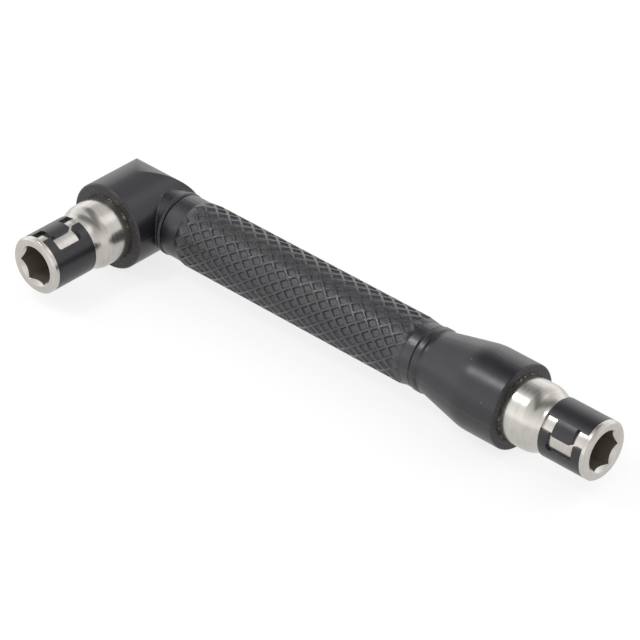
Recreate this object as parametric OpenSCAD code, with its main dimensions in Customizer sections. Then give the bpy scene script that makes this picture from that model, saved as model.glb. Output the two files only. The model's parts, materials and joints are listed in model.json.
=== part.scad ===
// Offset screwdriver: a right-angled hand tool with a 1/4 inch hex bit socket on each end.
// The handle lies along X and the short arm along -Y, and the tool rests on its side.

/* [Overall] */
// Distance from the crossing of the two axes to the tip of the long end
long_reach = 104.8; // [90:0.1:140]
// Distance from the crossing of the two axes to the tip of the short end
short_reach = 27; // [26.5:0.1:32]

/* [Bit sockets] */
// Width across flats of the hex hole
hex_af = 6.4; // [6.35:0.01:6.5]
// Depth of the hex hole, from the tip to the magnet
hex_depth = 13.5; // [12:0.1:14]
// Diameter of the countersunk mouth
mouth_d = 7.7; // [7.5:0.05:8.2]
// Outer diameter of the end ring and of the spring clip
tip_d = 10.65; // [10.5:0.05:11.2]
// Length of the end ring, from the tip to the clip
ring_len = 0.95; // [0.7:0.05:1.5]
// Bevel round the edge of the end ring
ring_bevel = 0.35; // [0.1:0.05:0.5]
// Diameter of the waist between the clip and the shoulder
waist_d = 10.4; // [10:0.05:10.6]
// Length of the waist
waist_len = 0.4; // [0.2:0.05:0.8]
// Length of the curved shoulder
shoulder_len = 3.4; // [2.5:0.1:4]
// Diameter of the collar
collar_d = 12; // [11.5:0.1:12.6]
// Length of the socket that stands out of its cover
socket_show = 17.3; // [16.5:0.1:18]
// Diameter of the shank inside its cover
shank_d = 9.6; // [9:0.1:10.4]
// Turn of the hex hole in the long end
long_hex_turn = 24; // [0:0.5:60]
// Turn of the hex hole in the short end
short_hex_turn = 32.5; // [0:0.5:60]

/* [Spring clips] */
// Length of the clip along the socket
clip_len = 8.6; // [7.5:0.1:9]
// Thickness of the clip's strip
clip_wall = 0.5; // [0.4:0.05:0.7]
// Gap between the two ends of the clip, measured round the socket
clip_split = 2.86; // [2.2:0.01:3.4]
// Width of the tab on one end of the clip
tab_w = 4; // [3.5:0.1:4.4]
// Length of the tab, measured round the socket
tab_len = 3.12; // [2.4:0.01:3.6]
// Width of the slot that the tab points into
slot_w = 5.2; // [4.8:0.1:5.6]
// Depth of the slot, measured round the socket
slot_depth = 2.98; // [2.4:0.01:3.4]
// Corner radius of the tab and of the slot
clip_corner = 0.4; // [0.2:0.05:0.6]
// Turn of the clip's plain edge on the long end
long_clip_turn = 34; // [0:0.5:60]
// Turn of the clip's plain edge on the short end
short_clip_turn = 18; // [0:0.5:60]

/* [Detents] */
// Diameter of the detent ball
ball_d = 1.4; // [1.3:0.05:1.5]
// How far the ball stands into the hex hole, from the hole's corner
ball_show = 0.3; // [0.2:0.05:0.4]

/* [Magnets] */
// Diameter of the magnet at the bottom of the hex hole
magnet_d = 6; // [5:0.1:6.2]
// Thickness of the magnet
magnet_len = 2.5; // [2:0.1:3]

/* [Core rod] */
// Diameter of the bent steel rod that joins the sockets
rod_d = 7; // [6:0.1:7.4]
// Radius of the rod's bend, which starts where the short socket ends
bend_r = 5; // [4.5:0.1:6]

/* [Elbow cover] */
// Diameter of the rounded block round the short arm
elbow_d = 16.3; // [15:0.1:18]
// Distance from the handle's axis to the back of the block
elbow_back = 5.87; // [5.8:0.01:8]
// Bevel round the front edge of the block
elbow_bevel = 0.3; // [0.1:0.05:0.6]
// Distance from the short arm's axis to the end of the neck
neck_reach = 9.1; // [8.8:0.1:12]
// Diameter of the neck and of the handle's smooth bands
neck_d = 11.5; // [11:0.1:11.6]
// Width of the raised bead on the end of the neck
neck_bead_w = 0.8; // [0.4:0.1:1]
// Height of the raised beads
bead_h = 0.18; // [0.05:0.01:0.3]

/* [Grip sleeve] */
// Diameter over the crossing ridges
ridge_d = 12.15; // [12:0.05:13]
// Number of ridges that wind each way
ridge_count = 16; // [12:2:20]
// Length of a diamond between crossings, along the handle
diamond_len = 2.99; // [2.4:0.01:3.6]
// Smooth band at the elbow end
front_band = 3.68; // [2:0.01:6]
// Smooth band at the nose end
rear_band = 2.11; // [2:0.01:6]
// Bevel round both edges of the seams at the ends of the sleeve
seam_bevel = 0.25; // [0.1:0.05:0.35]

/* [Nose cover] */
// Largest diameter of the nose
nose_d = 15.5; // [14.8:0.1:17]
// Length of the nose
nose_len = 19.9; // [17:0.1:24]
// Width of the raised bead at its thin end
nose_bead_w = 1.7; // [1:0.1:2.5]
// Slope of the flare, in degrees
flare_slope = 12; // [11:0.5:20]
// Radius that blends the neck into the flare
flare_root = 4; // [2:0.5:8]
// Radius that blends the flare into the front of the nose
flare_crown = 12; // [4:0.5:14]
// Radius of the rounded front edge
nose_round = 0.4; // [0.2:0.05:0.8]

/* [Fits] */
// Clearance between pieces that are fitted into each other
fit_gap = 0.05; // [0.02:0.01:0.08]
// Clearance of the ball in its hole and in the clip
ball_gap = 0.05; // [0.03:0.01:0.07]
// Open gap round the collar
collar_gap = 0.15; // [0.1:0.05:0.3]

/* [Hidden] */
$fn = 96;
// Overrun of every cut past the face that it opens
overrun = 0.5;
// Steps in each drawn arc
arc_steps = 8;
// Share of a socket's inner length over which its collar is sunk into its cover
sink_share = 0.32;
// Shares of a diamond's half length that a pit's rim and its floor reach from its middle
rim_share = 0.8;
floor_share = 0.6;
// Share of half a diamond over which the net runs out at each end
run_out_share = 1.1;
// Share of a bead's width that its sloping side takes
bead_side_share = 0.25;
// Height of the pits' floors above the sleeve's smooth surface
net_skin = 0.03;
// Turn of the net round the handle
net_turn = -3;
// Turn from the hex hole's first corner to the corner that holds the ball, in steps of 60
long_ball_turn = 240;
short_ball_turn = 120;
// Number of points that each pit has in the list of the net's points
pit_point_count = 8;

tip_r = tip_d / 2;
hex_r = hex_af / 2 / cos(30);
mouth_r = mouth_d / 2;
clip_r = tip_r - clip_wall;
groove_r = clip_r - fit_gap;
groove_len = clip_len + 2 * fit_gap;
groove_end = ring_len + groove_len;
waist_r = waist_d / 2;
collar_r = collar_d / 2;
shank_r = shank_d / 2;
shoulder_start = groove_end + waist_len;
shoulder_end = shoulder_start + shoulder_len;
socket_len = short_reach - bend_r;
collar_sink = sink_share * (socket_len - socket_show);
collar_end = socket_show + collar_sink;
rod_stop = hex_depth + magnet_len;
rod_r = rod_d / 2;
ball_r = ball_d / 2;
ball_hole_r = ball_r + ball_gap;
ball_seat = hex_r - ball_show + ball_r;
ball_depth = ring_len + groove_len / 2;
elbow_r = elbow_d / 2;
elbow_face = short_reach - socket_show;
neck_r = neck_d / 2;
nose_r = nose_d / 2;
nose_end = long_reach - socket_show;
nose_start = nose_end - nose_len;
sleeve_start = neck_reach + fit_gap;
sleeve_end = nose_start - fit_gap;
net_start = sleeve_start + front_band;
net_len = sleeve_end - rear_band - net_start;
net_rows = round(2 * net_len / diamond_len - 2 * run_out_share);
row_len = net_len / (net_rows + 2 * run_out_share);
net_sides = 2 * ridge_count;
ridge_r = ridge_d / 2;
pit_r = neck_r + net_skin;

// The middle of the tool's footprint stands at the origin
mid_x = (long_reach - elbow_r) / 2;
mid_y = (max(nose_r, elbow_back) - short_reach) / 2;
rest_z = max(elbow_r, nose_r);

module standing() {
    translate([-mid_x, -mid_y, rest_z]) children();
}

// Lays an axis that points up along the handle, with X at the top and Y towards the short arm
module along_handle(x) {
    translate([x, 0, 0]) rotate([0, 90, 0]) rotate([0, 0, 180]) children();
}

// Lays an axis that points up along the short arm, with X at the top and Y towards the back
module along_arm(reach) {
    translate([0, -reach, 0]) rotate([90, 0, 0]) rotate([0, 0, 90]) children();
}

// Points of an arc round a centre, from one angle to the other
function arc(centre, r, from, to) = [
    for (i = [0:arc_steps])
        let (a = from + (to - from) * i / arc_steps)
        centre + r * [cos(a), sin(a)]
];

// Bead beside a seam, as radius and height, from the bevelled seam at zero upwards
function bead(r, width) = [
    [r + bead_h - seam_bevel, 0],
    [r + bead_h, seam_bevel],
    [r + bead_h, width * (1 - bead_side_share)],
    [r, width],
];

// The same points turned end for end, below the given height
function flipped(points, top) = [
    for (i = [len(points) - 1:-1:0]) [points[i].x, top - points[i].y]
];

// Outline of a socket, as radius and height, from its tip at zero downwards
function socket_outline() =
    let (
        rise = collar_r - waist_r,
        r = (shoulder_len * shoulder_len + rise * rise) / (4 * rise),
        bend = asin(shoulder_len / 2 / r)
    )
    concat(
        [[0, 0], [tip_r - ring_bevel, 0], [tip_r, -ring_bevel], [tip_r, -ring_len]],
        [[groove_r, -ring_len], [groove_r, -groove_end], [waist_r, -groove_end]],
        arc([waist_r + r, -shoulder_start], r, 180, 180 + bend),
        arc([collar_r - r, -shoulder_end], r, bend, 0),
        [[collar_r, -collar_end], [shank_r, -collar_end]],
        [[shank_r, ring_bevel - socket_len], [shank_r - ring_bevel, -socket_len], [0, -socket_len]]
    );

// Frame of the ball at rest: X points out through its corner of the hex hole
module at_ball(hex_turn, ball_turn) {
    rotate([0, 0, hex_turn + ball_turn]) translate([ball_seat, 0, -ball_depth]) children();
}

// Hole for the ball, open outwards and narrowed inside so that the ball can't fall through
module ball_hole() {
    seat = ball_hole_r * sin(45);
    shoulder = ball_hole_r * (1 / sin(45) - 1);
    rotate([0, 90, 0]) {
        translate([0, 0, -shoulder]) cylinder(h = tip_r, r = ball_hole_r);
        translate([0, 0, -seat]) cylinder(h = seat - shoulder, r1 = seat, r2 = ball_hole_r);
        translate([0, 0, -seat - ball_r]) cylinder(h = seat + ball_r, r = seat);
    }
}

// Turned socket: countersunk hex hole, clip groove, shoulder, collar and bored shank
module socket(hex_turn, ball_turn) {
    lead = mouth_r - hex_af / 2 + overrun;
    difference() {
        rotate_extrude() polygon(socket_outline());
        rotate([0, 0, hex_turn])
            translate([0, 0, -hex_depth]) cylinder(h = hex_depth + overrun, r = hex_r, $fn = 6);
        translate([0, 0, -lead]) cylinder(h = lead + overrun, r1 = mouth_r - lead, r2 = mouth_r + overrun);
        translate([0, 0, -rod_stop]) cylinder(h = magnet_len + overrun, r = magnet_d / 2 + fit_gap);
        translate([0, 0, -socket_len - overrun])
            cylinder(h = socket_len + overrun - rod_stop, r = rod_r + fit_gap);
        at_ball(hex_turn, ball_turn) ball_hole();
    }
}

module magnet() {
    translate([0, 0, fit_gap - rod_stop]) cylinder(h = magnet_len - fit_gap, r = magnet_d / 2);
}

// Slice through a ring about Z, between two angles and over a width
module wedge(from, to, width) {
    reach = 2 * tip_r;
    linear_extrude(height = width, center = true)
        polygon([[0, 0], reach * [cos(from), sin(from)], reach * [cos(to), sin(to)]]);
}

// Block that cuts a ring about Z back from an angle, square to the ring and with round corners
module tongue(angle, length, width) {
    low = clip_corner - width / 2;
    high = width / 2 - clip_corner;
    rotate([0, 0, angle]) rotate([90, 0, 90]) linear_extrude(height = 2 * tip_r) polygon(concat(
        [[-length, -width / 2]],
        arc([-clip_corner, low], clip_corner, -90, 0),
        arc([-clip_corner, high], clip_corner, 0, 90),
        [[-length, width / 2]]
    ));
}

// Spring clip about its own middle: a split band whose one end has a tab that points into a
// slot in the other. The tab grows from zero towards rising angles
module clip() {
    degrees = 180 / PI / tip_r;
    split_end = clip_split * degrees;
    slot_end = split_end + slot_depth * degrees;
    difference() {
        cylinder(h = clip_len, r = tip_r, center = true);
        cylinder(h = clip_len + overrun, r = clip_r, center = true);
        difference() {
            union() {
                wedge(0, split_end, clip_len + overrun);
                tongue(slot_end, tip_r * sin(slot_end - split_end / 2), slot_w);
            }
            tongue(tab_len * degrees, tip_r, tab_w);
        }
    }
}

// Clip in its groove, with the hollow that the ball moves into
module fitted_clip(hex_turn, ball_turn, flip, turn) {
    difference() {
        translate([0, 0, -ball_depth]) rotate([0, 0, turn]) rotate([flip, 0, 0]) clip();
        at_ball(hex_turn, ball_turn) translate([ball_show, 0, 0]) sphere(r = ball_hole_r);
    }
}

// Space taken by the bent rod, at a given radius
module rod_path(r) {
    translate([bend_r, 0, 0]) rotate([0, 90, 0])
        cylinder(h = long_reach - rod_stop - bend_r, r = r);
    translate([0, -bend_r, 0]) rotate([90, 0, 0])
        cylinder(h = short_reach - rod_stop - bend_r, r = r);
    translate([bend_r, -bend_r, 0]) rotate([0, 0, 90])
        rotate_extrude(angle = 90) translate([bend_r, 0]) circle(r = r);
}

// Space for the part of a socket that its cover holds, from the cover's face at zero downwards
module socket_seat() {
    shank = socket_len - socket_show;
    translate([0, 0, -collar_sink - fit_gap])
        cylinder(h = collar_sink + fit_gap + overrun, r = collar_r + collar_gap);
    translate([0, 0, -shank - fit_gap]) cylinder(h = shank + overrun, r = shank_r + fit_gap);
}

// Block of the elbow: a drum round the short arm whose back is rounded over the other way
module elbow_block() {
    back_axis = elbow_back - elbow_r;
    intersection() {
        along_arm(elbow_face) rotate_extrude() polygon([
            [0, 0],
            [elbow_r - elbow_bevel, 0],
            [elbow_r, -elbow_bevel],
            [elbow_r, -elbow_face - elbow_r],
            [0, -elbow_face - elbow_r],
        ]);
        union() {
            translate([-elbow_r - overrun, back_axis, 0]) rotate([0, 90, 0])
                cylinder(h = 2 * (elbow_r + overrun), r = elbow_r);
            translate([-elbow_r - overrun, -elbow_face - overrun, -elbow_r - overrun])
                cube([2 * (elbow_r + overrun), elbow_face + overrun + back_axis, 2 * (elbow_r + overrun)]);
        }
    }
}

function net_point(r, i, j) =
    let (a = 360 * j / net_sides)
    [r * cos(a), r * sin(a), (i + run_out_share) * row_len];

// Points of the pit in row i and column j: the low, high, left and right corners of its floor,
// then those of its rim. In the end rows the rim's corner that would stick out marks the end
// of the crossing beside the pit
function pit_points(i, j) = [
    net_point(pit_r, i - floor_share, j),
    net_point(pit_r, i + floor_share, j),
    net_point(pit_r, i, j - floor_share),
    net_point(pit_r, i, j + floor_share),
    i > 0 ? net_point(ridge_r, i - rim_share, j) : net_point(ridge_r, rim_share - 1, j - 1),
    i < net_rows ? net_point(ridge_r, i + rim_share, j) : net_point(ridge_r, i + 1 - rim_share, j - 1),
    net_point(ridge_r, i, j - rim_share),
    net_point(ridge_r, i, j + rim_share),
];

// Places of a pit's points in the list of the net's points
function pit_place(i, j) =
    pit_point_count * (i * ridge_count + floor(((j + net_sides) % net_sides) / 2));
function pit_floor(i, j) = [for (n = [0:3]) pit_place(i, j) + n];
function pit_rim(i, j) = [for (n = [4:7]) pit_place(i, j) + n];
function low(corners) = corners[0];
function high(corners) = corners[1];
function left(corners) = corners[2];
function right(corners) = corners[3];

// Floor and walls of a pit. A pit in an end row is open towards the smooth band
function pit_faces(i, j) =
    let (f = pit_floor(i, j), e = pit_rim(i, j))
    concat(
        [[low(f), left(f), high(f)], [low(f), high(f), right(f)]],
        i < net_rows ? [
            [left(f), left(e), high(e)],
            [left(f), high(e), high(f)],
            [high(f), high(e), right(e)],
            [high(f), right(e), right(f)],
        ] : [],
        i > 0 ? [
            [right(f), right(e), low(e)],
            [right(f), low(e), low(f)],
            [low(f), low(e), left(e)],
            [low(f), left(e), left(f)],
        ] : []
    );

// Ridges between a pit and its two neighbours in the next row
function strip_faces(i, j) =
    let (e = pit_rim(i, j), right_e = pit_rim(i + 1, j + 1), left_e = pit_rim(i + 1, j - 1))
    [
        [high(e), left(right_e), low(right_e)],
        [high(e), low(right_e), right(e)],
        [left(e), low(left_e), right(left_e)],
        [left(e), right(left_e), high(e)],
    ];

// Small flat where two ridges cross
function crossing_faces(i, j) =
    let (l = right(pit_rim(i, j - 1)), r = left(pit_rim(i, j + 1)))
    let (h = i < net_rows ? low(pit_rim(i + 1, j)) : high(pit_rim(i, j + 1)))
    let (d = i > 0 ? high(pit_rim(i - 1, j)) : low(pit_rim(i, j + 1)))
    [[l, h, r], [l, r, d]];

// Slopes between the first row and the ring of points that starts at the given place
function first_end_faces(j, ring) =
    let (f = pit_floor(0, j), e = pit_rim(0, j), next_e = pit_rim(0, j + 2))
    let (r0 = ring + j - 1, r1 = ring + j, r2 = ring + (j + 1) % net_sides)
    [
        [low(e), left(e), left(f)],
        [low(e), left(f), low(f)],
        [low(e), low(f), r1],
        [low(e), r1, r0],
        [low(next_e), right(f), right(e)],
        [low(next_e), low(f), right(f)],
        [low(next_e), r1, low(f)],
        [low(next_e), r2, r1],
    ];

// The same at the last row
function last_end_faces(j, ring) =
    let (f = pit_floor(net_rows, j), e = pit_rim(net_rows, j), next_e = pit_rim(net_rows, j + 2))
    let (r0 = ring + (j + net_sides - 1) % net_sides, r1 = ring + j, r2 = ring + (j + 1) % net_sides)
    [
        [high(e), left(f), left(e)],
        [high(e), high(f), left(f)],
        [high(e), r1, high(f)],
        [high(e), r0, r1],
        [high(next_e), right(e), right(f)],
        [high(next_e), right(f), high(f)],
        [high(next_e), high(f), r1],
        [high(next_e), r1, r2],
    ];

// Net of ridges that wind both ways round the sleeve, with a pit in each diamond between them
module ridge_net() {
    end_r = pit_r / cos(180 / net_sides);
    first_ring = pit_point_count * ridge_count * (net_rows + 1);
    last_ring = first_ring + net_sides;
    pits = [for (i = [0:net_rows]) for (c = [0:ridge_count - 1]) [i, 2 * c + (i + 1) % 2]];
    points = concat(
        [for (p = pits) each pit_points(p[0], p[1])],
        [for (j = [0:net_sides - 1]) net_point(end_r, -run_out_share, j)],
        [for (j = [0:net_sides - 1]) net_point(end_r, net_rows + run_out_share, j)]
    );
    faces = concat(
        [for (p = pits) each pit_faces(p[0], p[1])],
        [for (p = pits) if (p[0] < net_rows) each strip_faces(p[0], p[1])],
        [for (p = pits) each crossing_faces(p[0], p[1] + 1)],
        [for (p = pits) if (p[0] == 0) each first_end_faces(p[1], first_ring)],
        [for (p = pits) if (p[0] == net_rows) each last_end_faces(p[1], last_ring)],
        [[for (j = [0:net_sides - 1]) first_ring + j]],
        [[for (j = [net_sides - 1:-1:0]) last_ring + j]]
    );
    polyhedron(points = points, faces = faces);
}

// Outline of the nose, as radius and height, from its thin end upwards
function nose_outline() =
    let (
        blends = (flare_root + flare_crown) * (1 - cos(flare_slope)),
        slope_len = (nose_r - neck_r - blends) / tan(flare_slope),
        flare_len = slope_len + (flare_root + flare_crown) * sin(flare_slope)
    )
    concat(
        [[0, 0]],
        bead(neck_r, nose_bead_w),
        arc([neck_r + flare_root, nose_bead_w], flare_root, 180, 180 - flare_slope),
        arc([nose_r - flare_crown, nose_bead_w + flare_len], flare_crown, -flare_slope, 0),
        arc([nose_r - nose_round, nose_len - nose_round], nose_round, 0, 90),
        [[0, nose_len]]
    );

module elbow_cover() {
    neck_outline = concat(
        [[0, 0], [neck_r, 0]],
        flipped(bead(neck_r, neck_bead_w), neck_reach),
        [[0, neck_reach]]
    );
    color([0.16, 0.16, 0.17]) standing() difference() {
        union() {
            elbow_block();
            along_handle(0) rotate_extrude() polygon(neck_outline);
        }
        rod_path(rod_r + fit_gap);
        along_arm(elbow_face) socket_seat();
    }
}

module grip_sleeve() {
    sleeve_len = sleeve_end - sleeve_start;
    color([0.13, 0.13, 0.14]) standing() difference() {
        union() {
            along_handle(sleeve_start) rotate_extrude() polygon([
                [0, 0],
                [neck_r - seam_bevel, 0],
                [neck_r, seam_bevel],
                [neck_r, sleeve_len - seam_bevel],
                [neck_r - seam_bevel, sleeve_len],
                [0, sleeve_len],
            ]);
            along_handle(net_start) rotate([0, 0, net_turn]) ridge_net();
        }
        along_handle(sleeve_start - overrun)
            cylinder(h = sleeve_len + 2 * overrun, r = rod_r + fit_gap);
    }
}

module nose_cover() {
    color([0.16, 0.16, 0.17]) standing() difference() {
        along_handle(nose_start) rotate_extrude() polygon(nose_outline());
        along_handle(nose_start - overrun)
            cylinder(h = nose_len + 2 * overrun, r = rod_r + fit_gap);
        along_handle(nose_end) socket_seat();
    }
}

module core_rod() {
    color([0.6, 0.6, 0.62]) standing() rod_path(rod_r);
}

module long_socket() {
    color([0.78, 0.77, 0.74]) standing()
        along_handle(long_reach) socket(long_hex_turn, long_ball_turn);
}

module long_clip() {
    color([0.1, 0.1, 0.11]) standing()
        along_handle(long_reach) fitted_clip(long_hex_turn, long_ball_turn, 0, long_clip_turn);
}

module long_ball() {
    color([0.85, 0.85, 0.86]) standing()
        along_handle(long_reach) at_ball(long_hex_turn, long_ball_turn) sphere(r = ball_r);
}

module long_magnet() {
    color([0.55, 0.55, 0.57]) standing() along_handle(long_reach) magnet();
}

module short_socket() {
    color([0.78, 0.77, 0.74]) standing()
        along_arm(short_reach) socket(short_hex_turn, short_ball_turn);
}

module short_clip() {
    color([0.1, 0.1, 0.11]) standing()
        along_arm(short_reach) fitted_clip(short_hex_turn, short_ball_turn, 180, short_clip_turn);
}

module short_ball() {
    color([0.85, 0.85, 0.86]) standing()
        along_arm(short_reach) at_ball(short_hex_turn, short_ball_turn) sphere(r = ball_r);
}

module short_magnet() {
    color([0.55, 0.55, 0.57]) standing() along_arm(short_reach) magnet();
}

elbow_cover();
grip_sleeve();
nose_cover();
core_rod();
long_socket();
long_clip();
long_ball();
long_magnet();
short_socket();
short_clip();
short_ball();
short_magnet();
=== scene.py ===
# Offset screwdriver: an L-shaped handle of moulded plastic with a diamond grip, and a turned
# steel bit socket with a black spring clip on each end. Lengths are in metres.
import json
from math import cos, radians, sin

import bmesh
import bpy
from mathutils import Matrix, Vector, noise


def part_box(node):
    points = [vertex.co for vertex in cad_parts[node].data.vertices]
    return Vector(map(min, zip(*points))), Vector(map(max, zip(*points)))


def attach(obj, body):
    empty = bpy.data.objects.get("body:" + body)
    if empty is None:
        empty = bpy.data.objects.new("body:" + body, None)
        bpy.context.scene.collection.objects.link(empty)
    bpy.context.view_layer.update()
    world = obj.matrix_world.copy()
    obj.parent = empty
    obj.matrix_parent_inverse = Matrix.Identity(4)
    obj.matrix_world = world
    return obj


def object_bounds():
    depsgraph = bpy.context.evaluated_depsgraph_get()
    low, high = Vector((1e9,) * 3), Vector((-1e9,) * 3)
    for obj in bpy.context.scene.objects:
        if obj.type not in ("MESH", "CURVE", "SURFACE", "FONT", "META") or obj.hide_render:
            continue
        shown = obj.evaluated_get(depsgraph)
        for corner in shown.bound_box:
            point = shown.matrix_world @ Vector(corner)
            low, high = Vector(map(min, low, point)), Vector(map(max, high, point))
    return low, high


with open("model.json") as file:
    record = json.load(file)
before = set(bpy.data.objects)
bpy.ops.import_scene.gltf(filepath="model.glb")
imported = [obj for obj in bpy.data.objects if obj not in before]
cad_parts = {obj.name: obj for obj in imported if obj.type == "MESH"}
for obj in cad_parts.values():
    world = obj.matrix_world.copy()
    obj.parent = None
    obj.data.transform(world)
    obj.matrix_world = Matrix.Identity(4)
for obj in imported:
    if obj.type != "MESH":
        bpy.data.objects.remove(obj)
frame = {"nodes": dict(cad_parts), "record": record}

cad_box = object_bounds()

# Elbow cover. One moulding of black glass-filled plastic, shot over the bent rod: a satin skin
# with a fine orange peel, a parting line in the plane of the L, stray specks of lint, and a
# rough face round the socket where the flash was trimmed off.
mounts = {mount["name"]: mount["pos_m"] for mount in frame["record"]["mounts"]}
ELBOW = Vector((mounts["short_hex"][0], mounts["long_hex"][1], mounts["long_hex"][2]))
ELBOW_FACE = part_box("elbow_cover")[0][1]


def make_material(name):
    material = bpy.data.materials.new(name)
    material.use_nodes = True
    tree = material.node_tree
    return material, tree, tree.nodes["Principled BSDF"]


def add_node(tree, kind, values=None, links=None, **settings):
    node = tree.nodes.new(kind)
    for key, value in settings.items():
        setattr(node, key, value)
    for key, value in (values or {}).items():
        node.inputs[key].default_value = value
    for key, source in (links or {}).items():
        tree.links.new(source, node.inputs[key])
    return node


def feed(tree, socket, source):
    if isinstance(source, (int, float, tuple)):
        socket.default_value = source
    else:
        tree.links.new(source, socket)


def object_place(tree):
    return add_node(tree, "ShaderNodeTexCoord").outputs["Object"]


def split_axes(tree, vector):
    return add_node(tree, "ShaderNodeSeparateXYZ", links={"Vector": vector}).outputs


# A noise is given by its cells per metre, and where they are not the usual by its detail and
# roughness.
def add_noise(tree, place, grain, detail=3.0, roughness=0.6):
    values = {"Scale": grain, "Detail": detail, "Roughness": roughness}
    return add_node(tree, "ShaderNodeTexNoise", values, {"Vector": place}).outputs["Fac"]


def add_range(tree, value, low, high, to_low=0.0, to_high=1.0):
    values = {"From Min": low, "From Max": high, "To Min": to_low, "To Max": to_high}
    return add_node(tree, "ShaderNodeMapRange", values, {"Value": value}).outputs["Result"]


def add_math(tree, operation, first, second=0.0):
    node = add_node(tree, "ShaderNodeMath", links={0: first}, operation=operation)
    feed(tree, node.inputs[1], second)
    return node.outputs["Value"]


def plus(tree, first, second):
    return add_math(tree, "ADD", first, second)


def minus(tree, first, second):
    return add_math(tree, "SUBTRACT", first, second)


def times(tree, first, second):
    return add_math(tree, "MULTIPLY", first, second)


def larger(tree, first, second):
    return add_math(tree, "MAXIMUM", first, second)


def add_vector(tree, operation, first, second=(0.0, 0.0, 0.0)):
    node = add_node(tree, "ShaderNodeVectorMath", links={0: first}, operation=operation)
    feed(tree, node.inputs[1], second)
    return node.outputs


def add_mix(tree, share, first, second):
    node = add_node(tree, "ShaderNodeMix", links={0: share}, data_type="RGBA")
    feed(tree, node.inputs[6], first)
    feed(tree, node.inputs[7], second)
    return node.outputs[2]


def start_group(name, inputs, outputs):
    group = bpy.data.node_groups.new(name, "ShaderNodeTree")
    sockets = group.interface
    for label, default in inputs.items():
        kind = "NodeSocketColor" if isinstance(default, tuple) else "NodeSocketFloat"
        sockets.new_socket(label, in_out="INPUT", socket_type=kind).default_value = default
    for label, kind in outputs.items():
        sockets.new_socket(label, in_out="OUTPUT", socket_type=kind)
    entry = group.nodes.new("NodeGroupInput")
    way_out = group.nodes.new("NodeGroupOutput")
    return group, entry.outputs, way_out.inputs


def place_group(tree, group, values=None, links=None):
    return add_node(tree, "ShaderNodeGroup", values, links, node_tree=group).outputs


def dress(node, material):
    piece = frame["nodes"][node]
    piece.data.materials.clear()
    piece.data.materials.append(material)


NOISE_MIDDLE = (0.3, 0.7)
EDGE_SAMPLES = 6
EDGE_COSINES = (0.995, 0.88)
CHIP_NOISE = 900.0
CHIP_LEVELS = (0.38, 0.62)


# Edge mask: it carries wear on the plastics and the clips, and a painted highlight on the nickel
# sockets.
def build_edge_wear_and_highlight():
    group, ins, outs = start_group(
        "Edge wear and highlight",
        {"Width": 0.00012, "Break up": 0.6},
        {"Mask": "NodeSocketFloat", "Rounded": "NodeSocketVector"},
    )
    bevel = add_node(group, "ShaderNodeBevel", links={"Radius": ins["Width"]}, samples=EDGE_SAMPLES)
    rounded = bevel.outputs["Normal"]
    flat = add_node(group, "ShaderNodeNewGeometry").outputs["Normal"]
    same = add_vector(group, "DOT_PRODUCT", rounded, flat)["Value"]
    edge = add_range(group, same, *EDGE_COSINES)
    chips = add_range(group, add_noise(group, object_place(group), CHIP_NOISE), *CHIP_LEVELS)
    broken = times(group, minus(group, chips, 1.0), ins["Break up"])
    group.links.new(times(group, edge, plus(group, broken, 1.0)), outs["Mask"])
    group.links.new(rounded, outs["Rounded"])
    return group


edge_wear_and_highlight = build_edge_wear_and_highlight()

CLOUD_NOISE = (140.0, 4.0, 0.55)
CLOUD_TONE = (0.75, 1.3)
CLOUD_ROUGH = (-0.04, 0.05)
SCRATCH_STRETCH = (110.0, 900.0, 320.0)
SCRATCH_TURN = (0.3, 0.5, 0.9)
SCRATCH_NOISE = (1.0, 5.0, 0.7)
SCRATCH_LEVELS = (0.64, 0.76)
SCRATCH_STRENGTH = 0.3
WEAR_ROUGH = 0.1
LINT_GREY = (0.24, 0.235, 0.225, 1)
LINT_CELLS = 520.0
LINT_EDGE = (0.07, 0.04)
LINT_CHOICE = (0.72, 0.8)
PEEL_NOISE = (2400.0, 2.0, 0.5)


def build_handled_skin():
    group, ins, outs = start_group(
        "Handled skin",
        {"Dark": (0.02, 0.02, 0.02, 1), "Worn": (0.08, 0.08, 0.08, 1), "Rough": 0.32, "Wear": 0.0},
        {"Colour": "NodeSocketColor", "Roughness": "NodeSocketFloat", "Relief": "NodeSocketFloat"},
    )
    place = object_place(group)
    cloud = add_noise(group, place, *CLOUD_NOISE)
    tone = {0: ins["Dark"], "Scale": add_range(group, cloud, *NOISE_MIDDLE, *CLOUD_TONE)}
    shade = add_node(group, "ShaderNodeVectorMath", links=tone, operation="SCALE")
    stretch = add_node(
        group,
        "ShaderNodeMapping",
        {"Scale": SCRATCH_STRETCH, "Rotation": SCRATCH_TURN},
        {"Vector": place},
    )
    streaks = add_noise(group, stretch.outputs["Vector"], *SCRATCH_NOISE)
    scratch = add_range(group, streaks, *SCRATCH_LEVELS, 0.0, SCRATCH_STRENGTH)
    wear = larger(group, scratch, ins["Wear"])
    cells = add_node(
        group, "ShaderNodeTexVoronoi", {"Scale": LINT_CELLS}, {"Vector": place}
    ).outputs
    chosen = add_range(group, split_axes(group, cells["Color"])["X"], *LINT_CHOICE)
    lint = times(group, add_range(group, cells["Distance"], *LINT_EDGE), chosen)
    clean = add_mix(group, wear, shade.outputs["Vector"], ins["Worn"])
    group.links.new(add_mix(group, lint, clean, LINT_GREY), outs["Colour"])
    patch = add_range(group, cloud, *NOISE_MIDDLE, *CLOUD_ROUGH)
    dull = plus(group, times(group, wear, WEAR_ROUGH), patch)
    group.links.new(plus(group, dull, ins["Rough"]), outs["Roughness"])
    peel = add_noise(group, place, *PEEL_NOISE)
    group.links.new(minus(group, peel, scratch), outs["Relief"])
    return group


handled_skin = build_handled_skin()

PARTING_WIDTH = 0.00011
PARTING_NOISE = 300.0
PARTING_WANDER = 0.00002
PARTING_FADE = (1.0, 0.3)
PARTING_HEIGHT = 1.5


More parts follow.
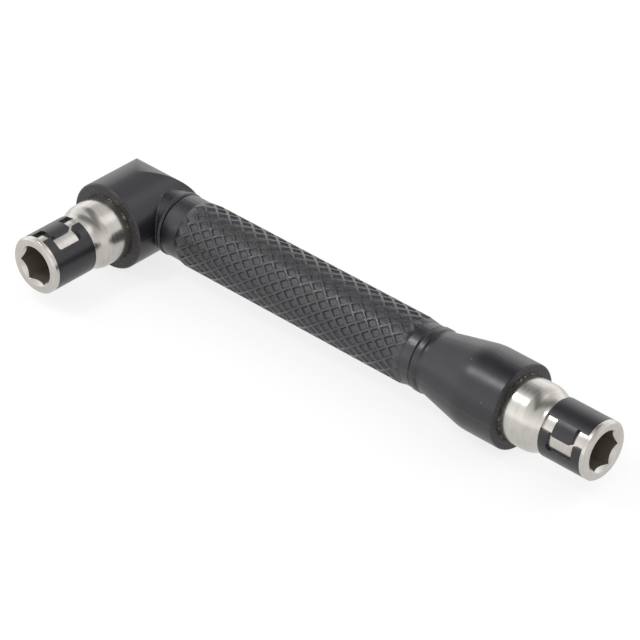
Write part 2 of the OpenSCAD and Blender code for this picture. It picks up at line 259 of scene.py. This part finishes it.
def build_parting_line():
    group, ins, outs = start_group(
        "Parting line",
        {"Level": 0.0, "Width": PARTING_WIDTH},
        {"Mask": "NodeSocketFloat"},
    )
    place = object_place(group)
    height = split_axes(group, place)["Z"]
    drift = (*NOISE_MIDDLE, -PARTING_WANDER, PARTING_WANDER)
    wave = add_range(group, add_noise(group, place, PARTING_NOISE), *drift)
    away = minus(group, plus(group, height, wave), ins["Level"])
    share = add_math(group, "DIVIDE", add_math(group, "ABSOLUTE", away), ins["Width"])
    group.links.new(add_range(group, share, *PARTING_FADE), outs["Mask"])
    return group


parting_line = build_parting_line()

COOL_SHINE = (0.96, 0.94, 1.0, 1)
SKIN_RELIEF = 0.00003


def finish_skin(tree, skin, colour, rough, relief, rounded, grain, ior):
    bump = add_node(
        tree,
        "ShaderNodeBump",
        {"Strength": grain, "Distance": SKIN_RELIEF},
        {"Height": relief, "Normal": rounded},
    )
    tree.links.new(colour, skin.inputs["Base Color"])
    tree.links.new(rough, skin.inputs["Roughness"])
    tree.links.new(bump.outputs["Normal"], skin.inputs["Normal"])
    skin.inputs["IOR"].default_value = ior
    skin.inputs["Specular Tint"].default_value = COOL_SHINE


COVER_BLACK = (0.0056, 0.0054, 0.0063, 1)
COVER_WORN = (0.085, 0.082, 0.08, 1)
COVER_ROUGH = 0.3
COVER_GRAIN = 0.3
COVER_IOR = 1.65
COVER_EDGE = {"Width": 0.0003, "Break up": 0.7}
COVER_LINE_WEAR = 0.45
TRIMMED_BLACK = (0.010, 0.0085, 0.007, 1)
TRIMMED_SPECK = (0.17, 0.14, 0.10, 1)
TRIMMED_DEPTH = (-0.00012, -0.00004)
TRIMMED_ROUGH = 0.16
SPECK_NOISE = (3200.0, 2.0, 0.7)
SPECK_LEVELS = (0.64, 0.7)
TORN_NOISE = (1500.0, 4.0, 0.7)
TORN_HEIGHT = 4.0


def make_cover_plastic(name, axis, face, outward):
    material, tree, skin = make_material(name)
    place = object_place(tree)
    edge = place_group(tree, edge_wear_and_highlight, COVER_EDGE)
    line = place_group(tree, parting_line, {"Level": ELBOW.z})["Mask"]
    moulded = place_group(
        tree,
        handled_skin,
        {"Dark": COVER_BLACK, "Worn": COVER_WORN, "Rough": COVER_ROUGH},
        {"Wear": larger(tree, edge["Mask"], times(tree, line, COVER_LINE_WEAR))},
    )
    past = times(tree, minus(tree, split_axes(tree, place)[axis], face), outward)
    trimmed = add_range(tree, past, *TRIMMED_DEPTH)
    specks = add_range(tree, add_noise(tree, place, *SPECK_NOISE), *SPECK_LEVELS)
    rim = add_mix(tree, specks, TRIMMED_BLACK, TRIMMED_SPECK)
    colour = add_mix(tree, trimmed, moulded["Colour"], rim)
    rough = plus(tree, moulded["Roughness"], times(tree, trimmed, TRIMMED_ROUGH))
    torn = times(tree, trimmed, add_noise(tree, place, *TORN_NOISE))
    relief = plus(tree, moulded["Relief"], times(tree, torn, TORN_HEIGHT))
    relief = plus(tree, relief, times(tree, line, PARTING_HEIGHT))
    finish_skin(tree, skin, colour, rough, relief, edge["Rounded"], COVER_GRAIN, COVER_IOR)
    return material


dress("elbow_cover", make_cover_plastic("Moulded elbow plastic", "Y", ELBOW_FACE, -1.0))

# Grip sleeve. Moulded from black rubber-filled plastic and held by the seams at its ends. Hands
# have polished and stained the tops of the ridges, the pits are dull, dusty and uneven, and the
# bands at both ends are smooth.
FRONT_BAND = 0.00368
REAR_BAND = 0.00211
BAND_BLEND = 0.0006
RIDGE_TOP = 0.006075
PIT_FLOOR = 0.00578
GRIP_BLACK = (0.0185, 0.0182, 0.0195, 1)
GRIP_WORN = (0.095, 0.094, 0.095, 1)
GRIP_BLUE = (0.92, 0.95, 1.2, 1)
GRIP_BROWN = (1.08, 1.03, 0.86, 1)
GRIP_ROUGH = 0.37
GRIP_GRAIN = 0.3
GRIP_IOR = 1.75
GRIP_EDGE = {"Width": 0.00013, "Break up": 0.5}
GRIP_EDGE_WEAR = 0.3
GRIP_LINE_WEAR = 0.3
TOP_WEAR_FROM, TOP_WEAR = 0.85, 0.1
POLISH_FROM, POLISH = 0.7, -0.12
BAND_POLISH = -0.07
STAIN_NOISE = 170.0
STAIN_LEVELS = (0.42, 0.6)
FLECK_NOISE = (2600.0, 2.0, 0.6)
FLECK_LEVELS = (0.58, 0.72)
FLECK_STRENGTH = 0.35
PIT_DUST = (0.052, 0.05, 0.048, 1)
DUST_NOISE = 500.0
DUST_HEIGHT = (0.12, 0.02)
DUST_ROUGH = 0.15
SWELL_NOISE = 1300.0
SWELL = 15.0
BAND_SWELL = 0.3


def find_net(tree, place):
    front, rear = [corner[0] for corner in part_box("grip_sleeve")]
    start, end = front + FRONT_BAND, rear - REAR_BAND
    along = split_axes(tree, place)["X"]
    begun = add_range(tree, along, start, start + BAND_BLEND)
    return times(tree, begun, add_range(tree, along, end, end - BAND_BLEND))


def find_ridges(tree, place):
    centred = add_node(
        tree,
        "ShaderNodeMapping",
        {"Location": (0.0, -ELBOW.y, -ELBOW.z), "Scale": (0.0, 1.0, 1.0)},
        {"Vector": place},
    ).outputs["Vector"]
    return add_range(tree, add_vector(tree, "LENGTH", centred)["Value"], PIT_FLOOR, RIDGE_TOP)


def make_grip_plastic():
    material, tree, skin = make_material("Ribbed grip plastic")
    place = object_place(tree)
    netted = find_net(tree, place)
    height = find_ridges(tree, place)
    edge = place_group(tree, edge_wear_and_highlight, GRIP_EDGE)
    line = place_group(tree, parting_line, {"Level": ELBOW.z})["Mask"]
    top = add_range(tree, height, TOP_WEAR_FROM, 1.0, 0.0, TOP_WEAR)
    wear = larger(tree, times(tree, edge["Mask"], GRIP_EDGE_WEAR), top)
    wear = larger(tree, wear, times(tree, line, GRIP_LINE_WEAR))
    moulded = place_group(
        tree,
        handled_skin,
        {"Worn": GRIP_WORN, "Rough": GRIP_ROUGH},
        {"Dark": add_mix(tree, netted, COVER_BLACK, GRIP_BLACK), "Wear": wear},
    )
    stain = add_range(tree, add_noise(tree, place, STAIN_NOISE), *STAIN_LEVELS)
    tint = add_mix(tree, stain, GRIP_BLUE, GRIP_BROWN)
    stained = add_vector(tree, "MULTIPLY", moulded["Colour"], tint)["Vector"]
    spots = add_noise(tree, place, *FLECK_NOISE)
    fleck = add_range(tree, spots, *FLECK_LEVELS, 0.0, FLECK_STRENGTH)
    flecked = add_mix(tree, times(tree, fleck, netted), stained, GRIP_WORN)
    low = add_range(tree, height, *DUST_HEIGHT)
    dust = times(tree, times(tree, low, add_noise(tree, place, DUST_NOISE)), netted)
    colour = add_mix(tree, dust, flecked, PIT_DUST)
    polished = add_range(tree, height, POLISH_FROM, 1.0, 0.0, POLISH)
    rough = plus(tree, moulded["Roughness"], polished)
    rough = plus(tree, rough, times(tree, dust, DUST_ROUGH))
    rough = plus(tree, rough, add_range(tree, netted, 0.0, 1.0, BAND_POLISH, 0.0))
    swell = times(tree, add_noise(tree, place, SWELL_NOISE), SWELL)
    swell = times(tree, swell, add_range(tree, netted, 0.0, 1.0, BAND_SWELL, 1.0))
    relief = plus(tree, moulded["Relief"], times(tree, line, PARTING_HEIGHT))
    relief = plus(tree, relief, swell)
    finish_skin(tree, skin, colour, rough, relief, edge["Rounded"], GRIP_GRAIN, GRIP_IOR)
    return material


dress("grip_sleeve", make_grip_plastic())

# Nose cover. Flared moulding over the rod and the long end's socket, in the elbow's plastic,
# with the same rough trimmed face round the socket.
NOSE_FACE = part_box("nose_cover")[1][0]
dress("nose_cover", make_cover_plastic("Moulded nose plastic", "X", NOSE_FACE, 1.0))

# Core rod. Drawn steel bar, bent to the L and pressed into the sockets. The covers, the sleeve
# and the sockets hide all of it.
ROD_STEEL = (0.42, 0.42, 0.43)
ROD_ROUGH = 0.35
ROD_NOISE = 1200.0
SMEAR_TONE = (0.75, 1.15)
SMEAR_ROUGH = 0.15


def make_small_steel(name, colour, rough, grain):
    material, tree, skin = make_material(name)
    smear = add_noise(tree, object_place(tree), grain, 4.0)
    dark, pale = [(*[channel * tone for channel in colour], 1) for tone in SMEAR_TONE]
    tree.links.new(add_mix(tree, smear, dark, pale), skin.inputs["Base Color"])
    dulled = add_range(tree, smear, *NOISE_MIDDLE, rough, rough + SMEAR_ROUGH)
    tree.links.new(dulled, skin.inputs["Roughness"])
    skin.inputs["Metallic"].default_value = 1.0
    return material


dress("core_rod", make_small_steel("Drawn rod steel", ROD_STEEL, ROD_ROUGH, ROD_NOISE))

# Bit sockets. Turned from steel bar and plated in satin nickel: fine turning lines run round
# the axis, the edges are painted lighter, partly as rubbed plating and partly as a painted
# highlight, and the hex hole is darker where the broach tore it.
NICKEL = (0.645, 0.622, 0.588, 1)
NICKEL_DULL = (0.53, 0.505, 0.465, 1)
# Lighter nickel for the edges: partly rubbed plating, partly a painted highlight.
NICKEL_RUBBED_AND_HIGHLIT = (0.82, 0.80, 0.76, 1)
NICKEL_ROUGH = (0.17, 0.25)
NICKEL_EDGE = {"Width": 0.00012, "Break up": 0.3}
NICKEL_EDGE_WEAR_AND_HIGHLIGHT = 0.5
NICKEL_NOISE = (260.0, 4.0)
NICKEL_LEVELS = (0.75, 1.3)
TURNING_PITCH = {"Fine": (14000.0, 3.0), "Broad": (2200.0, 1.2)}
TURNING_BROAD = 0.6
TURNING_GRAIN = 0.12
TURNING_RELIEF = 0.00002
TURNING_SHEEN = 0.45
HOLE_BROWN = (0.19, 0.163, 0.132, 1)
HOLE_ROUGH = 0.25
HOLE_METAL = 0.25
MOUTH_RADIUS = 0.00385
MOUTH_START, MOUTH_END = 0.00002, 0.00012
MOUTH_SOFT = 0.00008


def build_turned_lines():
    group, ins, outs = start_group(
        "Turned lines",
        {"Along": 0.0, "Out": 0.0, "Turn": 0.0},
        {"Fine": "NodeSocketFloat", "Broad": "NodeSocketFloat"},
    )
    for label, (pitch, slide) in TURNING_PITCH.items():
        steps = {
            "X": times(group, ins["Along"], pitch),
            "Y": times(group, ins["Out"], pitch),
            "Z": times(group, ins["Turn"], slide),
        }
        spot = add_node(group, "ShaderNodeCombineXYZ", links=steps).outputs["Vector"]
        group.links.new(add_noise(group, spot, 1.0), outs[label])
    return group


turned_lines = build_turned_lines()


def make_turned_nickel(name, axis, tip, outward):
    material, tree, skin = make_material(name)
    place = object_place(tree)
    centred = add_vector(tree, "ADD", place, tuple(-part for part in ELBOW))["Vector"]
    spot = split_axes(tree, centred)
    side = "Y" if axis == "X" else "X"
    turn = add_math(tree, "ARCTAN2", spot[side], spot["Z"])
    square = times(tree, spot[side], spot[side])
    square = plus(tree, square, times(tree, spot["Z"], spot["Z"]))
    out = add_math(tree, "SQRT", square)
    round_axis = {"Along": spot[axis], "Out": out, "Turn": turn}
    lines = place_group(tree, turned_lines, links=round_axis)
    edge = place_group(tree, edge_wear_and_highlight, NICKEL_EDGE)
    cloud = plus(tree, add_noise(tree, place, *NICKEL_NOISE), lines["Broad"])
    plated = add_mix(tree, add_range(tree, cloud, *NICKEL_LEVELS), NICKEL_DULL, NICKEL)
    # The edges are painted lighter, partly as rubbed plating and partly as a painted highlight.
    rubbed_and_highlit = times(tree, edge["Mask"], NICKEL_EDGE_WEAR_AND_HIGHLIGHT)
    plated_with_edge_highlight = add_mix(tree, rubbed_and_highlit, plated, NICKEL_RUBBED_AND_HIGHLIT)
    depth = times(tree, minus(tree, spot[axis], tip), -outward)
    mouth = (MOUTH_RADIUS + MOUTH_START, MOUTH_RADIUS + MOUTH_END)
    sunk = add_range(tree, plus(tree, depth, out), *mouth)
    inner = add_range(tree, out, MOUTH_RADIUS, MOUTH_RADIUS - MOUTH_SOFT)
    inside = times(tree, sunk, inner)
    tree.links.new(add_mix(tree, inside, plated_with_edge_highlight, HOLE_BROWN), skin.inputs["Base Color"])
    rough = add_range(tree, lines["Broad"], *NOISE_MIDDLE, *NICKEL_ROUGH)
    rough = plus(tree, rough, times(tree, inside, HOLE_ROUGH))
    tree.links.new(rough, skin.inputs["Roughness"])
    relief = plus(tree, lines["Fine"], times(tree, lines["Broad"], TURNING_BROAD))
    bump = add_node(
        tree,
        "ShaderNodeBump",
        {"Strength": TURNING_GRAIN, "Distance": TURNING_RELIEF},
        {"Height": relief, "Normal": edge["Rounded"]},
    )
    tree.links.new(bump.outputs["Normal"], skin.inputs["Normal"])
    metal = add_range(tree, inside, 0.0, 1.0, 1.0, HOLE_METAL)
    tree.links.new(metal, skin.inputs["Metallic"])
    skin.inputs["Anisotropic"].default_value = TURNING_SHEEN
    grain = add_node(tree, "ShaderNodeTangent", direction_type="RADIAL", axis=axis)
    tree.links.new(grain.outputs["Tangent"], skin.inputs["Tangent"])
    return material


long_tip = cad_box[1][0] - ELBOW.x
short_tip = cad_box[0][1] - ELBOW.y
dress("long_socket", make_turned_nickel("Turned nickel, long end", "X", long_tip, 1.0))
dress("short_socket", make_turned_nickel("Turned nickel, short end", "Y", short_tip, -1.0))

# Flash. Thin uneven lip of plastic that the mould left in the gap round each collar. It was
# torn off rather than cut, so it is stained brown. A few clusters of pale specks on it are a
# painted highlight that stands in for glints.
FLASH_RADIUS = 0.00612
FLASH_THICK = 0.00014
FLASH_PROUD = 0.00003
FLASH_SIDES = 8
FLASH_STEPS = 240
RAGGED_GRAIN, RAGGED_HEIGHT = 2200.0, 0.00012
UNEVEN_GRAIN, UNEVEN_SHARE = 1500.0, 0.008
UNEVEN_SHIFT = Vector((9, 0, 0))
# The pale speck colour is a painted highlight, not a colour of the plastic.
FLASH_PAINTED_HIGHLIGHT = (0.46, 0.42, 0.35, 1)
FLASH_DULL = (0.075, 0.06, 0.042, 1)
FLASH_ROUGH = (0.42, 0.15)
SPECK_HIGHLIGHT_NOISE = (1900.0, 3.0, 0.7)
SPECK_HIGHLIGHT_LEVELS = (0.5, 0.62)
HIGHLIGHT_CLUSTER_NOISE = (260.0, 2.0, 0.5)
HIGHLIGHT_CLUSTER_LEVELS = (0.49, 0.6)
SMUDGE_NOISE = 700.0
SMUDGE_LEVELS = (0.42, 0.62)
SMUDGE_STRENGTH = 0.6


def make_flash_plastic():
    material, tree, skin = make_material("Torn flash")
    place = object_place(tree)
    # Pale specks in clusters, painted into the base colour as a highlight.
    painted_glints = add_range(tree, add_noise(tree, place, *SPECK_HIGHLIGHT_NOISE), *SPECK_HIGHLIGHT_LEVELS)
    highlight_cluster = add_range(tree, add_noise(tree, place, *HIGHLIGHT_CLUSTER_NOISE), *HIGHLIGHT_CLUSTER_LEVELS)
    painted_glints = times(tree, painted_glints, highlight_cluster)
    smudge = add_noise(tree, place, SMUDGE_NOISE)
    smudge = add_range(tree, smudge, *SMUDGE_LEVELS, 0.0, SMUDGE_STRENGTH)
    dull = add_mix(tree, smudge, TRIMMED_BLACK, FLASH_DULL)
    tree.links.new(add_mix(tree, painted_glints, dull, FLASH_PAINTED_HIGHLIGHT), skin.inputs["Base Color"])
    rough = add_range(tree, painted_glints, 0.0, 1.0, *FLASH_ROUGH)
    tree.links.new(rough, skin.inputs["Roughness"])
    return material


flash_plastic = make_flash_plastic()


def add_flash(name, centre, axis):
    mesh = bpy.data.meshes.new(name)
    shape = bmesh.new()
    ring = bmesh.ops.create_circle(shape, segments=FLASH_SIDES, radius=FLASH_THICK)["verts"]
    bmesh.ops.rotate(shape, verts=ring, matrix=Matrix.Rotation(radians(90), 3, "X"))
    bmesh.ops.translate(shape, verts=ring, vec=(FLASH_RADIUS, 0, 0))
    bmesh.ops.spin(
        shape,
        geom=shape.verts[:] + shape.edges[:],
        axis=(0, 0, 1),
        cent=(0, 0, 0),
        angle=radians(360),
        steps=FLASH_STEPS,
        use_merge=True,
    )
    for vert in shape.verts:
        vert.co.z += RAGGED_HEIGHT * noise.noise(vert.co * RAGGED_GRAIN)
        uneven = noise.noise(vert.co * UNEVEN_GRAIN + UNEVEN_SHIFT)
        vert.co.xy *= 1 + UNEVEN_SHARE * uneven
    turn = Vector((0, 0, 1)).rotation_difference(Vector(axis)).to_matrix()
    bmesh.ops.rotate(shape, verts=shape.verts, matrix=turn)
    bmesh.ops.translate(shape, verts=shape.verts, vec=centre)
    bmesh.ops.recalc_face_normals(shape, faces=shape.faces)
    for face in shape.faces:
        face.smooth = True
    shape.to_mesh(mesh)
    shape.free()
    mesh.materials.append(flash_plastic)
    piece = bpy.data.objects.new(name, mesh)
    bpy.context.scene.collection.objects.link(piece)
    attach(piece, "tool")


add_flash("long_flash", (NOSE_FACE + FLASH_PROUD, ELBOW.y, ELBOW.z), (1, 0, 0))
add_flash("short_flash", (ELBOW.x, ELBOW_FACE - FLASH_PROUD, ELBOW.z), (0, -1, 0))

# Spring clips. Stamped spring steel, rolled round the socket and blackened; the stamped edges
# wear first and show a little metal.
CLIP_BLACK = (0.012, 0.012, 0.013, 1)
CLIP_WORN = (0.13, 0.125, 0.12, 1)
CLIP_ROUGH = 0.28
CLIP_GRAIN = 0.15
CLIP_IOR = 1.6
CLIP_EDGE = {"Width": 0.0001, "Break up": 0.8}
CLIP_EDGE_WEAR = 0.7


def make_clip_steel():
    material, tree, skin = make_material("Blackened spring steel")
    edge = place_group(tree, edge_wear_and_highlight, CLIP_EDGE)
    blackened = place_group(
        tree,
        handled_skin,
        {"Dark": CLIP_BLACK, "Worn": CLIP_WORN, "Rough": CLIP_ROUGH},
        {"Wear": times(tree, edge["Mask"], CLIP_EDGE_WEAR)},
    )
    colour, rough, relief = blackened
    finish_skin(tree, skin, colour, rough, relief, edge["Rounded"], CLIP_GRAIN, CLIP_IOR)
    return material


clip_steel = make_clip_steel()
dress("long_clip", clip_steel)
dress("short_clip", clip_steel)

# Detent balls and magnets. Polished bearing balls, and nickel plated discs at the bottom of
# the hex holes, dulled by the bits that strike them.
BALL_STEEL = (0.66, 0.66, 0.67)
BALL_ROUGH = 0.08
MAGNET_NICKEL = (0.36, 0.35, 0.34)
MAGNET_ROUGH = 0.3
STRIKE_NOISE = 1500.0
ball_steel = make_small_steel("Bearing steel", BALL_STEEL, BALL_ROUGH, STRIKE_NOISE)
magnet_nickel = make_small_steel("Magnet nickel", MAGNET_NICKEL, MAGNET_ROUGH, STRIKE_NOISE)
for end in ("long", "short"):
    dress(end + "_ball", ball_steel)
    dress(end + "_magnet", magnet_nickel)

# Studio. Pale paper under the tool in a bright tent, with one small soft box near the nose. The
# tent's roof is darker, with a dark gap between two panels, one brighter panel on the camera's
# side, and a dimmer wall beyond the long end.
PAPER_REACH = 2.0
PAPER_GREY = (0.3, 0.3, 0.3, 1)
PAPER_GLOW = 0.63
CAMERA_GLOW = 0.77
WHITE = (1, 1, 1, 1)


def lay_paper():
    mesh = bpy.data.meshes.new("studio_floor")
    shape = bmesh.new()
    bmesh.ops.create_grid(shape, x_segments=1, y_segments=1, size=PAPER_REACH)
    shape.to_mesh(mesh)
    shape.free()
    floor = bpy.data.objects.new("studio_floor", mesh)
    bpy.context.scene.collection.objects.link(floor)
    material, tree, skin = make_material("Studio paper")
    tree.nodes.remove(skin)
    rays = add_node(tree, "ShaderNodeLightPath").outputs
    mirrored = larger(tree, rays["Is Glossy Ray"], rays["Is Transmission Ray"])
    seen = times(tree, rays["Is Camera Ray"], CAMERA_GLOW)
    seen = larger(tree, seen, times(tree, mirrored, PAPER_GLOW))
    glow = add_node(tree, "ShaderNodeEmission", {"Color": WHITE}, {"Strength": seen})
    paper = add_node(tree, "ShaderNodeBsdfDiffuse", {"Color": PAPER_GREY})
    both = {0: paper.outputs["BSDF"], 1: glow.outputs["Emission"]}
    together = add_node(tree, "ShaderNodeAddShader", links=both).outputs["Shader"]
    tree.links.new(together, tree.nodes["Material Output"].inputs["Surface"])
    mesh.materials.append(material)


lay_paper()

TENT_WALL, TENT_ROOF = 1.4, 0.72
ROOF_RISE = (0.25, 0.85)
GAP_ACROSS = (0.578, 0.815, -0.04)
GAP_LIGHT = 0.36
GAP_FAR_EDGE = (-0.36, -0.22)
GAP_NEAR_EDGE = (0.3, 0.05)
GAP_FOOT = (0.5, 0.72)
PANEL_SIDE = (0.38, 0.45, 0.81)
PANEL_LIGHT = 1.65
PANEL_EDGE = (0.955, 0.98)
LONG_WALL_LIGHT = 0.7
LONG_WALL_EDGE = (0.4, 0.8)


def lean_towards(tree, direction, side):
    side = tuple(Vector(side).normalized())
    return add_vector(tree, "DOT_PRODUCT", direction, side)["Value"]


def hang_tent():
    world = bpy.data.worlds.new("Studio tent")
    bpy.context.scene.world = world
    world.use_nodes = True
    air = world.node_tree
    toward = add_node(air, "ShaderNodeTexCoord").outputs["Generated"]
    way = split_axes(air, toward)
    across = lean_towards(air, toward, GAP_ACROSS)
    near = lean_towards(air, toward, PANEL_SIDE)
    gap = add_range(air, across, *GAP_FAR_EDGE)
    gap = times(air, gap, add_range(air, across, *GAP_NEAR_EDGE))
    gap = times(air, gap, add_range(air, way["Z"], *GAP_FOOT))
    tent = add_range(air, way["Z"], *ROOF_RISE, TENT_WALL, TENT_ROOF)
    tent = times(air, tent, add_range(air, gap, 0.0, 1.0, 1.0, GAP_LIGHT))
    tent = times(air, tent, add_range(air, way["X"], *LONG_WALL_EDGE, 1.0, LONG_WALL_LIGHT))
    tent = times(air, tent, add_range(air, near, *PANEL_EDGE, 1.0, PANEL_LIGHT))
    camera_sees = add_node(air, "ShaderNodeLightPath").outputs["Is Camera Ray"]
    background = air.nodes["Background"]
    air.links.new(larger(air, tent, camera_sees), background.inputs["Strength"])
    background.inputs["Color"].default_value = WHITE


hang_tent()

LAMP_PAST_NOSE = 0.01
LAMP_SIDE = (-0.56, -0.357, 0.747)
LAMP_DISTANCE = 0.27
LAMP_WIDTH = 0.055
LAMP_WATTS = 0.08


def hang_soft_box(name, lit_place):
    light = bpy.data.lights.new(name, "AREA")
    light.shape = "DISK"
    light.size = LAMP_WIDTH
    light.energy = LAMP_WATTS
    toward_lamp = Vector(LAMP_SIDE).normalized()
    lamp = bpy.data.objects.new(name, light)
    lamp.location = Vector(lit_place) + LAMP_DISTANCE * toward_lamp
    lamp.rotation_euler = toward_lamp.to_track_quat("Z", "Y").to_euler()
    bpy.context.scene.collection.objects.link(lamp)


hang_soft_box("nose_box", (NOSE_FACE + LAMP_PAST_NOSE, ELBOW.y, ELBOW.z))

# Camera. Worked out from the picture: the crossing of the two axes lies 0.62 m away, and the
# long lens looks down along the diagonal between the two arms.
AZIMUTH, ELEVATION, ROLL = radians(47.3101), radians(34.7546), radians(0.7503)
DISTANCE = 0.6209731
FOCAL_PIXELS = 3501.91
PICTURE_PIXELS = 640
CROSSING_PIXEL = (146.2285, 205.2829)
SENSOR_MM = 36.0
side = Vector((sin(AZIMUTH), cos(AZIMUTH), 0))
rise = Vector((-sin(ELEVATION) * cos(AZIMUTH), sin(ELEVATION) * sin(AZIMUTH), cos(ELEVATION)))
back = Vector((cos(ELEVATION) * cos(AZIMUTH), -cos(ELEVATION) * sin(AZIMUTH), sin(ELEVATION)))
camera_x = cos(ROLL) * side + sin(ROLL) * rise
camera_y = cos(ROLL) * rise - sin(ROLL) * side
off_x = DISTANCE * (CROSSING_PIXEL[0] - PICTURE_PIXELS / 2) / FOCAL_PIXELS
off_y = DISTANCE * (PICTURE_PIXELS / 2 - CROSSING_PIXEL[1]) / FOCAL_PIXELS
where = ELBOW - off_x * camera_x - off_y * camera_y + DISTANCE * back
turned = Matrix((camera_x, camera_y, back)).transposed().to_4x4()
lens = bpy.data.cameras.new("camera")
lens.sensor_width = SENSOR_MM
lens.lens = FOCAL_PIXELS * SENSOR_MM / PICTURE_PIXELS
lens.clip_start = 0.01
camera = bpy.data.objects.new("camera", lens)
camera.matrix_world = Matrix.Translation(where) @ turned
bpy.context.scene.collection.objects.link(camera)
bpy.context.scene.camera = camera
bpy.context.scene.view_settings.view_transform = "Standard"
